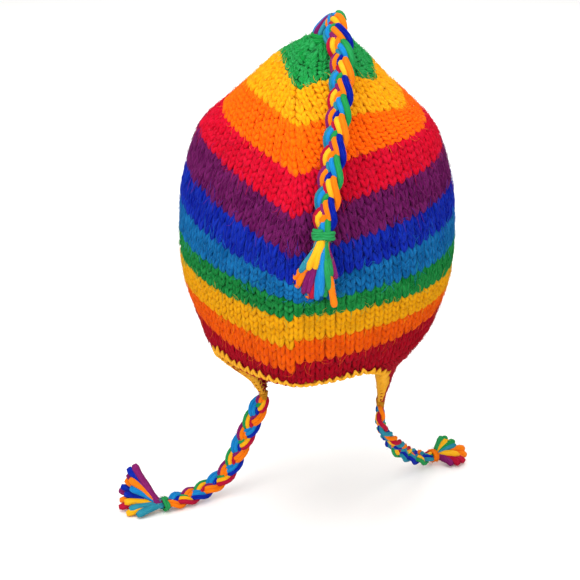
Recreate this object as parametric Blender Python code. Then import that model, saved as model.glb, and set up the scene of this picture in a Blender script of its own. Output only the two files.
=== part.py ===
"""Knitted earflap hat: pointed striped crown, two earflaps, plaited ties and a tasselled braid."""

from collections import namedtuple
from math import cos, pi, radians, sin

import bmesh
import bpy
import numpy as np
from mathutils import Vector

# Metres. The origin is the top of the head inside the crown, +Z up, the forehead faces -Y.
HALF_WIDTH = 0.101
HALF_DEPTH = 0.111
CROWN_HEIGHT = 0.230  # nape rim to tip
RIM_BACK = -0.1705  # height of the rim at the nape
FLAP_TIP = -0.237  # height of both flap tips
WALL = 0.0055  # chunky stocking stitch
GAP = 0.00035
FRONT_RIDGE = 1.8
TURNS = 44
TURN = 360 / TURNS

TRIM_RADIUS = 0.0021
TRIM_STEP = 0.0046
BRAID_RADIUS = 0.0080
BRAID_LIFT = 0.0023  # air between braid and crown
BRAID_WRAP_RADIUS = 0.0070
TIE_RADIUS = 0.0055
TIE_WRAP_RADIUS = 0.0058
WRAP_LENGTH = 0.007

Profile = namedtuple("Profile", "width nape brow ridge lean")
# Level sections at equal steps up CROWN_HEIGHT. width, nape and brow are shares of HALF_WIDTH and
# HALF_DEPTH, lean a share of HALF_WIDTH towards the wearer's right. ridge 2 is an ellipse, 1 has
# a crease down the centre back.
PROFILE = (
    Profile(0.810, 0.860, 0.793, 1.38, 0.00),
    Profile(0.863, 0.901, 0.842, 1.33, 0.00),
    Profile(0.921, 0.946, 0.887, 1.28, 0.00),
    Profile(0.970, 0.980, 0.928, 1.24, 0.00),
    Profile(0.993, 0.998, 0.959, 1.20, 0.00),
    Profile(0.998, 0.995, 0.982, 1.15, 0.00),
    Profile(0.994, 0.977, 0.991, 1.11, 0.00),
    Profile(0.982, 0.939, 0.982, 1.08, 0.00),
    Profile(0.950, 0.883, 0.950, 1.06, 0.00),
    Profile(0.901, 0.815, 0.896, 1.06, 0.00),
    Profile(0.827, 0.734, 0.815, 1.08, 0.00),
    Profile(0.658, 0.619, 0.694, 1.20, 0.01),
    Profile(0.485, 0.482, 0.532, 1.35, 0.015),
    Profile(0.327, 0.324, 0.342, 1.50, 0.03),
    Profile(0.134, 0.117, 0.126, 1.80, 0.08),
)

Stripe = namedtuple("Stripe", "wool bands back left right front")
# The lower edge of each stripe, rim to tip: heights at nape, ears and brow as shares of
# CROWN_HEIGHT, and the wool of the bands above it.
STRIPES = (
    Stripe("red_shade", 2, 0.000, 0.046, 0.059, 0.141),
    Stripe("orange_low", 2, 0.076, 0.163, 0.137, 0.220),
    Stripe("yellow_low", 2, 0.159, 0.237, 0.220, 0.285),
    Stripe("green_low", 2, 0.246, 0.324, 0.311, 0.372),
    Stripe("light_blue", 1, 0.320, 0.393, 0.385, 0.446),
    Stripe("blue", 2, 0.363, 0.459, 0.446, 0.511),
    Stripe("purple", 3, 0.446, 0.563, 0.537, 0.598),
    Stripe("red", 3, 0.550, 0.689, 0.637, 0.693),
    Stripe("orange", 3, 0.672, 0.772, 0.733, 0.763),
    Stripe("yellow", 2, 0.802, 0.828, 0.807, 0.833),
    Stripe("green", 2, 0.889, 0.937, 0.902, 0.911),
    Stripe("green", 2, 0.950, 0.963, 0.954, 0.954),
    Stripe("green", 0, 0.991, 0.991, 0.991, 0.991),
)
CLIMB = 0.85  # under 1, rows leave the centre back steeply

Fold = namedtuple("Fold", "drop width depth centre rear_right rear_left front")
# One row per level of a flap, rim to tip. drop is the share of the way down to FLAP_TIP, centre a
# share of HALF_DEPTH towards the nape, and the edges are turns in degrees from the centre back.
FLAP = (
    Fold(0.00, 0.830, 0.850, 0.000, 5 * TURN, 7 * TURN, 16 * TURN),
    Fold(0.12, 0.770, 0.800, -0.036, 49, 60, 132),
    Fold(0.35, 0.645, 0.700, -0.108, 57, 61, 128),
    Fold(0.67, 0.560, 0.550, -0.270, 66, 68, 113),
    Fold(0.86, 0.517, 0.430, -0.304, 73, 74, 107),
    Fold(1.00, 0.485, 0.380, -0.324, 82, 82, 98),
)
FLAP_RIDGE = 1.7

Stop = namedtuple("Stop", "level side")
# The braid hangs down the back: stripe edge passed, and side as a share of HALF_WIDTH.
BRAID_STOPS = (
    Stop(11.7, -0.13),
    Stop(11.0, -0.17),
    Stop(10.0, -0.19),
    Stop(9.0, -0.20),
    Stop(8.2, -0.19),
    Stop(7.4, -0.17),
    Stop(6.6, -0.155),
    Stop(5.6, -0.15),
    Stop(4.4, -0.15),
    Stop(2.6, -0.15),
)
BRAID_LENGTH = 0.178
BRAID_START = Vector((-0.0115, -0.003, 0.0700))

Bend = namedtuple("Bend", "x y z")
# Centre lines of the ties as shares of the drop from flap tip to the ends, from the tip out.
TIE_DROP = 0.080
TIE_LEFT = (
    Bend(0.00, 0.00, -0.012),
    Bend(0.12, 0.02, -0.30),
    Bend(0.23, 0.02, -0.55),
    Bend(0.34, 0.08, -0.80),
    Bend(0.47, 0.16, -0.92),
    Bend(0.66, 0.32, -0.99),
    Bend(0.91, 0.54, -1.00),
)
TIE_RIGHT = (
    Bend(0.00, 0.00, -0.013),
    Bend(-0.01, -0.03, -0.24),
    Bend(-0.06, -0.18, -0.43),
    Bend(-0.17, -0.45, -0.72),
    Bend(-0.33, -0.74, -0.93),
    Bend(-0.47, -0.93, -0.99),
)

Lock = namedtuple("Lock", "out up across curl")
# Loose ends of each tassel as shares of its length: along the cord, away from what it lies on,
# sideways, and how far the middle bows up.
TOP_LOCKS = (
    Lock(0.92, 0.00, 0.56, 0.05),
    Lock(0.98, 0.04, 0.33, 0.10),
    Lock(1.02, 0.00, 0.12, 0.06),
    Lock(1.00, 0.05, -0.04, 0.10),
    Lock(1.10, 0.00, -0.20, 0.04),
)
LEFT_LOCKS = (
    Lock(0.62, 0.80, -0.10, 0.02),
    Lock(1.00, 0.36, -0.22, 0.08),
    Lock(0.98, 0.02, 0.04, 0.10),
    Lock(0.78, -0.04, 0.40, 0.06),
    Lock(0.40, -0.04, 0.66, 0.04),
)
RIGHT_LOCKS = (
    Lock(0.42, 0.60, 0.10, 0.06),
    Lock(0.86, 0.40, 0.16, 0.20),
    Lock(1.00, 0.04, -0.02, 0.10),
    Lock(0.84, -0.06, -0.26, 0.04),
)
TOP_TASSEL = 0.042
LEFT_TASSEL = 0.034
RIGHT_TASSEL = 0.028

COLOURS = {
    "red_shade": "A50A22",
    "orange_low": "E8620C",
    "yellow_low": "E9A812",
    "green_low": "12803A",
    "light_blue": "1478C8",
    "blue": "1230B0",
    "purple": "5A125C",
    "red": "D6082C",
    "orange": "FA7208",
    "yellow": "FBBE18",
    "green": "1E9A46",
    "trim_yellow": "EBA82C",
    "braid_blue": "2486C2",
    "tassel_orange": "E8761E",
}


def cleared_scene():
    for old in list(bpy.data.objects):
        bpy.data.objects.remove(old, do_unlink=True)


def new_collection(name):
    made = bpy.data.collections.new(name)
    bpy.context.scene.collection.children.link(made)
    return made


def linear(byte):
    share = byte / 255
    return share / 12.92 if share <= 0.04045 else ((share + 0.055) / 1.055) ** 2.4


def wool(name, colour):
    material = bpy.data.materials.new(name)
    material.use_nodes = True
    code = COLOURS[colour]
    rgb = [linear(int(code[i : i + 2], 16)) for i in (0, 2, 4)]
    shader = material.node_tree.nodes["Principled BSDF"]
    shader.inputs["Base Color"].default_value = (*rgb, 1)
    shader.inputs["Roughness"].default_value = 0.9
    material.diffuse_color = (*rgb, 1)
    return material


def through(values, at):
    """Smooth curve through rows of numbers, read at a row position that may fall between rows."""
    last = len(values) - 1
    i = max(0, min(int(at), last - 1))
    t = at - i
    before, here, there, after = (values[max(0, min(k, last))] for k in range(i - 1, i + 3))
    bend = (2 * before - 5 * here + 4 * there - after) * t * t
    turn = (3 * here - before - 3 * there + after) * t**3
    return 0.5 * (2 * here + (there - before) * t + bend + turn)


PROFILE_NUMBERS = np.array(PROFILE)
STRIPE_NUMBERS = np.array([row[2:] for row in STRIPES])
FLAP_NUMBERS = np.array(FLAP)


def ring_point(width, nape, brow, ridge, turn):
    """A point of a level section: turn 0 is the centre back, 90 the wearer's right."""
    angle = radians(turn)
    behind = cos(angle) > 0
    power = 2 / (ridge if behind else FRONT_RIDGE)
    side = -abs(sin(angle)) ** power if sin(angle) > 0 else abs(sin(angle)) ** power
    return side * width * HALF_WIDTH, cos(angle) * (nape if behind else brow) * HALF_DEPTH


def row_height(level, turn):
    back, left, right, front = through(STRIPE_NUMBERS, level)
    side = right if sin(radians(turn)) > 0 else left
    forward = (1 - cos(radians(turn))) ** CLIMB
    brow = 2**CLIMB
    bend = (front - back - (side - back) * brow) / (brow * (brow - 1))
    return back + (side - back) * forward + bend * forward * (forward - 1)


def crown_point(level, turn):
    height = row_height(level, turn)
    *section, lean = through(PROFILE_NUMBERS, height * (len(PROFILE) - 1))
    x, y = ring_point(*section, turn)
    return Vector((x - lean * HALF_WIDTH, y, RIM_BACK + height * CROWN_HEIGHT))


def flap_point(level, turn):
    rim = crown_point(0, turn)
    rows = [np.array(rim)]
    for fold in FLAP[1:]:
        x, y = ring_point(fold.width, fold.depth, fold.depth, FLAP_RIDGE, turn)
        y += fold.centre * HALF_DEPTH
        rows.append(np.array((x, y, rim.z + (FLAP_TIP - rim.z) * fold.drop)))
    return Vector(through(rows, level))


def body_point(level, turn):
    """The outside of the knitting. Levels under 0 are the flaps'."""
    if level >= 0:
        return crown_point(min(level, len(STRIPES) - 1), turn)
    return flap_point(-level, turn)


def body_normal(level, turn):
    around = body_point(level, turn + 3) - body_point(level, turn - 3)
    along = body_point(level + 0.1, turn) - body_point(level - 0.1, turn)
    return around.cross(along).normalized()


def outside_in(level, turn, depth):
    return body_point(level, turn) - body_normal(level, turn) * depth


def downward(level, turn):
    return (body_point(level - 0.1, turn) - body_point(level + 0.1, turn)).normalized()


def add_mesh(name, collection, points, faces, materials, bands=None):
    mesh = bpy.data.meshes.new(name)
    mesh.from_pydata(points, [], faces)
    for material in materials:
        mesh.materials.append(material)
    if bands:
        mesh.polygons.foreach_set("material_index", bands)
    work = bmesh.new()
    work.from_mesh(mesh)
    bmesh.ops.recalc_face_normals(work, faces=work.faces)
    work.to_mesh(mesh)
    work.free()
    made = bpy.data.objects.new(name, mesh)
    collection.objects.link(made)
    return made


def knitted_wall(name, collection, grid, closed, materials, bands, cap=None, below=0):
    """A wall WALL thick. grid holds rows of (level, turn), and each band of faces has a material.

    below moves the first row that far down, clear of the rim it hangs from.
    """
    rows = len(grid)
    across = len(grid[0])
    points = []
    for depth in (0, WALL):
        for i, row in enumerate(grid):
            moved = 0 if i else below
            for level, turn in row:
                points.append(outside_in(level, turn, depth) + downward(level, turn) * moved)
    inner = rows * across
    faces = []
    index = []
    for side in (0, inner):
        for i in range(rows - 1):
            for j in range(across if closed else across - 1):
                k = (j + 1) % across
                low = side + i * across
                faces.append((low + j, low + k, low + across + k, low + across + j))
                index.append(bands[i])
    for j in range(across if closed else across - 1):
        k = (j + 1) % across
        a, b = (j, k) if closed or grid[0][j][1] < grid[0][k][1] else (k, j)
        faces.extend([(a, b, inner + b), (a, inner + b, inner + a)])
        index.extend([bands[0]] * 2)
        if cap is None:
            high = (rows - 1) * across
            faces.append((high + j, high + k, inner + high + k, inner + high + j))
            index.append(bands[-1])
    if not closed:
        for j in (0, across - 1):
            for i in range(rows - 1):
                low = i * across + j
                faces.append((low, low + across, inner + low + across, inner + low))
                index.append(bands[i])
    if cap is not None:
        for side, drop in ((0, 0), (inner, WALL)):
            points.append(cap - Vector((0, 0, drop)))
            high = side + (rows - 1) * across
            for j in range(across):
                faces.append((high + j, high + (j + 1) % across, len(points) - 1))
                index.append(bands[-1])
    return add_mesh(name, collection, points, faces, materials, index)


def build_crown(collection):
    stripes = list(dict.fromkeys(row.wool for row in STRIPES))
    materials = [wool(f"crown_{stripe}", stripe) for stripe in stripes]
    levels = []
    bands = []
    for i, row in enumerate(STRIPES[:-1]):
        levels.extend(i + j / row.bands for j in range(row.bands))
        bands.extend([stripes.index(row.wool)] * row.bands)
    levels.append(len(STRIPES) - 1)
    grid = [[(level, 360 * j / TURNS) for j in range(TURNS)] for level in levels]
    tip = sum((body_point(len(STRIPES) - 1, turn) for turn in range(0, 360, 30)), Vector()) / 12
    cap = tip + Vector((0, 0, 0.01 * CROWN_HEIGHT))
    return knitted_wall("crown", collection, grid, True, materials, bands, cap)


def flap_edges(level, side):
    """The turns of a flap's rear and front edges at one level, signed for its side."""
    row = through(FLAP_NUMBERS, level)
    rear = row[4] if side > 0 else row[5]
    return side * rear, side * row[6]


def build_flap(name, collection, side):
    rows = 11
    rear, front = flap_edges(0, side)
    across = round(abs(front - rear) / TURN) + 1
    grid = []
    for i in range(rows):
        level = (len(FLAP) - 1) * i / (rows - 1)
        rear, front = flap_edges(level, side)
        turns = [rear + (front - rear) * j / (across - 1) for j in range(across)]
        grid.append([(-level, turn) for turn in turns])
    material = wool(name, "red_shade")
    bands = [0] * (rows - 1)
    return knitted_wall(name, collection, grid, False, [material], bands, below=1.5 * GAP)


def resampled(points, step, closed=False):
    """The same line with its points evenly spaced."""
    line = np.array([tuple(p) for p in points])
    if closed:
        line = np.vstack([line, line[:1]])
    run = np.concatenate([[0], np.cumsum(np.linalg.norm(np.diff(line, axis=0), axis=1))])
    count = max(2, round(run[-1] / step))
    at = np.linspace(0, run[-1], count + 1)[: count if closed else None]
    return [Vector([np.interp(s, run, line[:, k]) for k in range(3)]) for s in at]


def smooth_route(stops, step):
    numbers = np.array([tuple(stop) for stop in stops])
    fine = [through(numbers, at) for at in np.linspace(0, len(numbers) - 1, 40 * len(numbers))]
    return resampled(fine, step)


def add_cord(name, collection, points, radius, material, taper=None, closed=False, sides=2):
    curve = bpy.data.curves.new(name, "CURVE")
    curve.dimensions = "3D"
    curve.bevel_depth = radius
    curve.bevel_resolution = sides
    curve.use_fill_caps = True
    curve.materials.append(material)
    spline = curve.splines.new("POLY")
    spline.points.add(len(points) - 1)
    for i, point in enumerate(points):
        spline.points[i].co = (*point, 1)
        spline.points[i].radius = taper[i] if taper else 1
    spline.use_cyclic_u = closed
    made = bpy.data.objects.new(name, curve)
    collection.objects.link(made)
    return made


def edge_outline():
    """Mid-wall points round rim and flaps, each with the way out of the fabric."""
    path = []
    rear_left = flap_edges(0, -1)[0]
    rear_right = flap_edges(0, 1)[0]
    path += [(0, turn) for turn in np.linspace(rear_right, rear_left, 24)]
    tip = len(FLAP) - 1
    down = np.linspace(0, tip, 24)
    path += [(-level, flap_edges(level, -1)[0]) for level in down[1:]]
    path += [(-tip, turn) for turn in np.linspace(*flap_edges(tip, -1), 7)[1:]]
    path += [(-level, flap_edges(level, -1)[1]) for level in down[::-1][1:]]
    front = flap_edges(0, 1)[1]
    path += [(0, turn) for turn in np.linspace(-front, front - 360, 24)[1:]]
    path += [(-level, flap_edges(level, 1)[1]) for level in down[1:]]
    path += [(-tip, turn) for turn in np.linspace(*flap_edges(tip, 1)[::-1], 7)[1:]]
    path += [(-level, flap_edges(level, 1)[0]) for level in down[::-1][1:-1]]
    middle = [outside_in(level, turn, WALL / 2) for level, turn in path]
    outs = []
    for i, (level, turn) in enumerate(path):
        along = middle[(i + 1) % len(middle)] - middle[i - 1]
        outs.append(body_normal(level, turn).cross(along).normalized())
    return middle, outs


def build_trim(collection):
    """The edging lies just off the fabric's edge all the way round."""
    middle, outs = edge_outline()
    reach = TRIM_RADIUS + GAP
    line = [point + out * reach for point, out in zip(middle, outs)]
    line = [p for p in line if min((p - m).length for m in middle) > 0.93 * reach]
    line = resampled(line, TRIM_STEP, closed=True)
    fine = resampled(middle, 0.001, closed=True)
    for _ in range(2):
        count = len(line)
        line = [(line[i - 1] + line[i] * 2 + line[(i + 1) % count]) / 4 for i in range(count)]
        for i, point in enumerate(line):
            near = min(fine, key=lambda m: (m - point).length)
            away = point - near
            if away.length < 1.16 * reach:
                line[i] = near + away.normalized() * 1.16 * reach
    material = wool("edge_trim", "trim_yellow")
    return add_cord("edge_trim", collection, line, TRIM_RADIUS, material, closed=True, sides=1)


def turn_at_side(level, side):
    """The turn at which the crown's back reaches this far sideways."""
    low, high = 0.0, 90.0
    for _ in range(30):
        middle = (low + high) / 2
        if body_point(level, middle).x > side * HALF_WIDTH:
            low = middle
        else:
            high = middle
    return low


def resting(level, side, lift):
    turn = turn_at_side(level, side)
    return body_point(level, turn) + body_normal(level, turn) * lift


def cut_line(points, start, end):
    """The stretch of an evenly spaced line between two lengths from its start."""
    line = np.array([tuple(p) for p in points])
    run = np.concatenate([[0], np.cumsum(np.linalg.norm(np.diff(line, axis=0), axis=1))])
    inside = [s for s in run if start < s < end]
    return [Vector([np.interp(s, run, line[:, k]) for k in range(3)]) for s in [start, *inside, end]]


def build_braid(collection):
    lift = BRAID_RADIUS + BRAID_LIFT
    stops = [BRAID_START]
    stops += [resting(stop.level, stop.side, lift) for stop in BRAID_STOPS]
    whole = smooth_route(stops, 0.0045)
    end = BRAID_LENGTH
    braid = cut_line(whole, 0, end)
    add_cord("top_braid", collection, braid, BRAID_RADIUS, wool("top_braid", "braid_blue"))
    wrap = cut_line(whole, end + GAP, end + GAP + WRAP_LENGTH)
    add_cord(
        "top_braid_wrap", collection, wrap, BRAID_WRAP_RADIUS, wool("top_braid_wrap", "green_low")
    )
    head = cut_line(whole, end + 2 * GAP + WRAP_LENGTH, end + 0.06)
    return head


def build_tie(name, collection, side, bends):
    tip = -(len(FLAP) - 1)
    middle = sum(flap_edges(len(FLAP) - 1, side)) / 2
    start = outside_in(tip, middle, WALL / 2) - Vector((0, 0, 2 * TRIM_RADIUS))
    stops = [start + Vector(bend) * TIE_DROP for bend in bends]
    whole = smooth_route(stops, 0.0045)
    length = sum((b - a).length for a, b in zip(whole, whole[1:]))
    end = length - WRAP_LENGTH
    add_cord(name, collection, cut_line(whole, 0, end), TIE_RADIUS, wool(name, "braid_blue"))
    wrap = cut_line(whole, end + GAP, length)
    add_cord(
        f"{name}_wrap", collection, wrap, TIE_WRAP_RADIUS, wool(f"{name}_wrap", "green_low")
    )
    way = whole[-1] - whole[-4]
    return whole[-1], Vector((way.x, way.y, 0)).normalized()


def build_tassel(name, collection, cutters, start, way, up, length, locks, girth):
    """A round head with tapered locks of yarn, all one body."""
    way = way.normalized()
    up = (up - way * up.dot(way)).normalized()
    across = way.cross(up)
    material = wool(name, "tassel_orange")
    begin = start + way * 3 * GAP
    stub = [begin + way * length * share for share in (0.0, 0.06, 0.13, 0.2, 0.26)]
    head = add_cord(name, collection, stub, girth, material, taper=[0.82, 0.95, 1.0, 0.86, 0.5])
    depsgraph = bpy.context.evaluated_depsgraph_get()
    mesh = bpy.data.meshes.new_from_object(head.evaluated_get(depsgraph))
    bpy.data.objects.remove(head, do_unlink=True)
    head = bpy.data.objects.new(name, mesh)
    collection.objects.link(head)
    for i, lock in enumerate(locks):
        target = way * lock.out + up * lock.up + across * lock.across
        points = []
        taper = []
        for j in range(8):
            t = j / 7
            bow = up * lock.curl * 4 * t * (1 - t)
            lead = way * 0.35 * t * (1 - t)
            points.append(begin + (way * 0.05 + target * t * 0.95 + bow + lead) * length)
            taper.append((0.52 + 0.1 * sin(pi * t)) * (1 - 0.55 * t**3))
        add = add_cord(f"{name}_lock_{i}", cutters, points, girth, material, taper, sides=1)
        mesh = bpy.data.meshes.new_from_object(add.evaluated_get(bpy.context.evaluated_depsgraph_get()))
        bpy.data.objects.remove(add, do_unlink=True)
        strand = bpy.data.objects.new(f"{name}_lock_{i}", mesh)
        strand.hide_render = True
        strand.display_type = "WIRE"
        cutters.objects.link(strand)
        union = head.modifiers.new(f"lock_{i}", "BOOLEAN")
        union.operation = "UNION"
        union.solver = "EXACT"
        union.object = strand
    return head


def main():
    cleared_scene()
    hat = new_collection("earflap_hat")
    cutters = new_collection("cutters")
    build_crown(hat)
    build_flap("earflap_right", hat, 1)
    build_flap("earflap_left", hat, -1)
    build_trim(hat)
    hang = build_braid(hat)
    out = body_normal(5, turn_at_side(5, -0.2))
    way = hang[-1] - hang[0]
    build_tassel("top_tassel", hat, cutters, hang[0], way, out, TOP_TASSEL, TOP_LOCKS, 0.0062)
    up = Vector((0, 0, 1))
    end, way = build_tie("tie_left", hat, -1, TIE_LEFT)
    build_tassel("tie_left_tassel", hat, cutters, end, way, up, LEFT_TASSEL, LEFT_LOCKS, 0.0055)
    end, way = build_tie("tie_right", hat, 1, TIE_RIGHT)
    build_tassel("tie_right_tassel", hat, cutters, end, way, up, RIGHT_TASSEL, RIGHT_LOCKS, 0.0058)


main()
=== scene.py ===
# %% [markdown]
# # A rainbow knitted hat with earflaps
# The hat is knitted in the round from thick, hand-spun wool: plump V-shaped stitches outside, small
# bumps inside, a yellow edging over the rim, and three plaits that end in loose yarn. The lesson
# builds it that way. A smooth surface says where the fabric runs, one stitch is modelled once, and
# it is laid along the surface row by row.

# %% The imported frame
from math import cos, pi, radians, sin
from types import SimpleNamespace

import bmesh
import bpy
import numpy as np
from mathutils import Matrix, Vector


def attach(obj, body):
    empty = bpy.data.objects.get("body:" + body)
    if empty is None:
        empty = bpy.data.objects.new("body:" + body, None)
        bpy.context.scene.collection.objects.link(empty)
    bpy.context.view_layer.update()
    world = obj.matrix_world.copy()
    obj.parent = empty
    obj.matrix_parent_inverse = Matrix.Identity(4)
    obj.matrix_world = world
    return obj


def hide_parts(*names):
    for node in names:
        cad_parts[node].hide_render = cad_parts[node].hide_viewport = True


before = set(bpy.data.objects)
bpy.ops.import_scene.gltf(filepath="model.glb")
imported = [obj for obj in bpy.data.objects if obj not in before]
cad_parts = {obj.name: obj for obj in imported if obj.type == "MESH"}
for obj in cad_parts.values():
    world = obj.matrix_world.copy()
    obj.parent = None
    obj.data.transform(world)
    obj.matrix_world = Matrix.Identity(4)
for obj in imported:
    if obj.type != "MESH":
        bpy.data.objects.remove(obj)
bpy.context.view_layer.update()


# %% Helpers for objects, meshes and lines
def new_object(name, data):
    made = bpy.data.objects.new(name, data)
    bpy.context.scene.collection.objects.link(made)
    return made


def new_mesh(name, bm, outwards=False):
    """The bmesh as a mesh, its faces turned outwards if that is asked for."""
    if outwards:
        bmesh.ops.recalc_face_normals(bm, faces=bm.faces)
    mesh = bpy.data.meshes.new(name)
    bm.to_mesh(mesh)
    bm.free()
    return mesh


def unit(vectors):
    return vectors / np.linalg.norm(vectors, axis=-1, keepdims=True)


def line_length(line):
    return float(np.linalg.norm(np.diff(line, axis=0), axis=1).sum())


def run_along(line):
    """How far along the line each of its points is."""
    return np.concatenate([[0], np.cumsum(np.linalg.norm(np.diff(line, axis=0), axis=1))])


def evenly(line, count):
    """The same line with that many equal steps, and its length."""
    run = run_along(line)
    even = np.linspace(0, run[-1], count + 1)
    return np.stack([np.interp(even, run, line[:, k]) for k in range(3)], axis=1), run[-1]


# %% [markdown]
# ## Camera
# The hat is seen from behind and a little above. A long lens keeps its sides nearly parallel.

# %% Camera
TARGET = Vector((0.0191, 0.0030, -0.1350))
TOWARDS_CAMERA = Vector((-0.14604, 0.92209, 0.35837)).normalized()
DISTANCE = 1.3
VIEW_WIDTH = 0.432  # metres across the picture at the hat
camera_data = bpy.data.cameras.new("camera")
camera_data.sensor_width = 36
camera_data.lens = camera_data.sensor_width * DISTANCE / VIEW_WIDTH
camera = new_object("camera", camera_data)
camera.location = TARGET + TOWARDS_CAMERA * DISTANCE
camera.rotation_euler = (-TOWARDS_CAMERA).to_track_quat("-Z", "Y").to_euler()
bpy.context.scene.camera = camera
print("lens", round(camera_data.lens, 1), "mm")

# %% [markdown]
# ## Wool
# Dyed sheep's wool is matt and soft. Light goes a little way in between the hairs, so deep places
# keep their colour and only darken, and the outermost hairs catch the light as a pale bloom. Both
# are painted into the colour here: a painted shade between the stitches and a painted highlight on
# the stray hairs. Two things show at arm's length: streaks where bundles of hair run along the
# yarn, and the shade between stitches. Each yarn carries its own measures as attributes: how far
# along it a point is and how far round, in millimetres, how much painted shade it takes, mostly by
# how deep in the fabric it lies, and one number per stitch.

# %% Helpers for colours and nodes
def linear(hex_code):
    channels = [int(hex_code[i : i + 2], 16) / 255 for i in (0, 2, 4)]
    return (*[c / 12.92 if c <= 0.04045 else ((c + 0.055) / 1.055) ** 2.4 for c in channels], 1)


def add_node(tree, kind, settings, inputs):
    """One shader node, with its settings and with a value or another socket for each input."""
    node = tree.nodes.new(kind)
    for name, value in settings.items():
        setattr(node, name, value)
    for name, value in inputs.items():
        if isinstance(value, bpy.types.NodeSocket):
            tree.links.new(value, node.inputs[name])
        else:
            node.inputs[name].default_value = value
    return node


# %% The wool material
STREAK_WIDTH = 0.8  # millimetres; a real hair is far finer, this is as fine as the picture shows
STREAK_LENGTH = 4.5
YARNS_APART = 97.0  # in the noise, so that no two yarns have the same streaks
STREAKS_FROM, STREAKS_TO = 0.42, 0.72  # of the noise, from the body colour to the bright one
STREAK_SHARE = 0.62
TINT_SHARE, TINT_LEAST = 0.34, -0.10  # of a stitch's own number


def dyed_wool(name, shade_colour, body, bright):
    """Dyed wool: painted shade between stitches, body on their sides, painted highlight on hairs.
    """
    material = bpy.data.materials.new(name)
    material.use_nodes = True
    tree = material.node_tree
    tree.nodes.clear()

    def node(kind, inputs, **settings):
        return add_node(tree, f"ShaderNode{kind}", settings, inputs)

    def measure(label):
        return node("Attribute", {}, attribute_name=label).outputs["Fac"]

    def maths(operation, *values, **settings):
        return node("Math", dict(enumerate(values)), operation=operation, **settings).outputs[0]

    def mixed(factor, one, other):
        inputs = {"Factor": factor, "A": one, "B": other}
        return node("Mix", inputs, data_type="RGBA").outputs["Result"]

    each = measure("each")
    place = {
        "X": maths("DIVIDE", measure("along_mm"), STREAK_LENGTH),
        "Y": maths("DIVIDE", measure("around_mm"), STREAK_WIDTH),
        "Z": maths("MULTIPLY", each, YARNS_APART),
    }
    place = node("CombineXYZ", place).outputs[0]
    streak = {"Vector": place, "Scale": 1.0, "Detail": 3.0, "Roughness": 0.6}
    streak = node("TexNoise", streak).outputs["Fac"]
    # Streaks and a stitch's own tint move the colour from body to bright.
    lift = node("MapRange", {"Value": streak, "From Min": STREAKS_FROM, "From Max": STREAKS_TO})
    # Hairs carry numbers of 1.5 to 4, which lift them to the bright colour: a painted highlight.
    tint = maths("MULTIPLY_ADD", each, TINT_SHARE, TINT_LEAST)
    amount = maths("MULTIPLY_ADD", lift.outputs[0], STREAK_SHARE, tint, use_clamp=True)
    lit = mixed(amount, linear(body), linear(bright))
    relief = node("Bump", {"Height": streak, "Strength": 0.55, "Distance": 0.0008})
    # The depth attribute mixes in the shade colour: painted shade between the stitches.
    surface = {
        "Base Color": mixed(measure("depth"), lit, linear(shade_colour)),
        "Normal": relief.outputs[0],
        "Roughness": 0.92,
        "Specular IOR Level": 0.05,
        "Sheen Weight": 0.02,
        "Sheen Roughness": 0.45,
    }
    node("OutputMaterial", {"Surface": node("BsdfPrincipled", surface).outputs[0]})
    return material


# %% The dyes
# name: painted shade between stitches, body, paler for streaks and the hairs' painted highlight
DYES = {
    "dark_red": "4E0009 8A0214 A50B23",
    # The lower stripes' orange, yellow and green are the upper ones darkened with painted shade.
    "low_orange": "932B00 CD4901 D95D07",
    "low_yellow": "936000 CB8903 D69F14",
    "low_green": "002C0A 046026 289048",
    "light_blue": "00244C 02497E 1C78B4",
    "blue": "000034 02107C 1838B4",
    "purple": "1C0016 48043B 7C2468",
    "red": "720007 BC021F D01538",
    "orange": "B93600 F15E01 F6740B",
    "yellow": "AE6B00 E79905 ECAB1D",
    "green": "003A10 0B7C32 38AE62",
    "mustard": "865004 D3921C DEA735",
    "teal": "043A46 1A7087 3B91A1",
    "sky": "033B70 0C70B2 2C8CC2",
    "plum": "310324 6A1251 8A2B6E",
    "amber": "923B00 DE6B09 E7821F",
    "gold": "9A5D00 E09E10 E7B22F",
    "leaf": "023A19 187F3E 36995E",
    "crimson": "5B010E 9B0B29 B42241",
}
wools = {name: dyed_wool(f"wool_{name}", *shades.split()) for name, shades in DYES.items()}
print(len(wools), "wools")

# %% [markdown]
# ## Where the fabric runs
# The crown is a stack of level sections that grow from the rim to the ears and close to a point,
# with a faint crease down the back. Stripes are rows of knitting, so they climb towards the sides.
# Both are told by short tables of shares of a few sizes, and smooth lines run through their rows.

# %% Sizes and tables of the fabric
# in metres; RIM_BACK and FLAP_TIP are heights in the frame
HALF_WIDTH = 0.101
HALF_DEPTH = 0.111
CROWN_HEIGHT = 0.230
RIM_BACK = -0.1705
FLAP_TIP = -0.237
# A ridge of 2 makes a round section, less makes a creased one.
FRONT_RIDGE = 1.8
FLAP_RIDGE = 1.7
CLIMB = 0.85  # how late a row starts to climb on its way round from the back
TURN = 360 / 44  # degrees; the flaps meet the rim at whole turns of this size

# width, nape, brow, ridge, lean of level sections, at equal steps up the crown
PROFILE = (
    (0.810, 0.860, 0.793, 1.38, 0.00),
    (0.863, 0.901, 0.842, 1.33, 0.00),
    (0.921, 0.946, 0.887, 1.28, 0.00),
    (0.970, 0.980, 0.928, 1.24, 0.00),
    (0.993, 0.998, 0.959, 1.20, 0.00),
    (0.998, 0.995, 0.982, 1.15, 0.00),
    (0.994, 0.977, 0.991, 1.11, 0.00),
    (0.982, 0.939, 0.982, 1.08, 0.00),
    (0.950, 0.883, 0.950, 1.06, 0.00),
    (0.901, 0.815, 0.896, 1.06, 0.00),
    (0.827, 0.734, 0.815, 1.08, 0.00),
    (0.658, 0.619, 0.694, 1.20, 0.01),
    (0.485, 0.482, 0.532, 1.35, 0.015),
    (0.327, 0.324, 0.342, 1.50, 0.03),
    (0.134, 0.117, 0.126, 1.80, 0.08),
)
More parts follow.
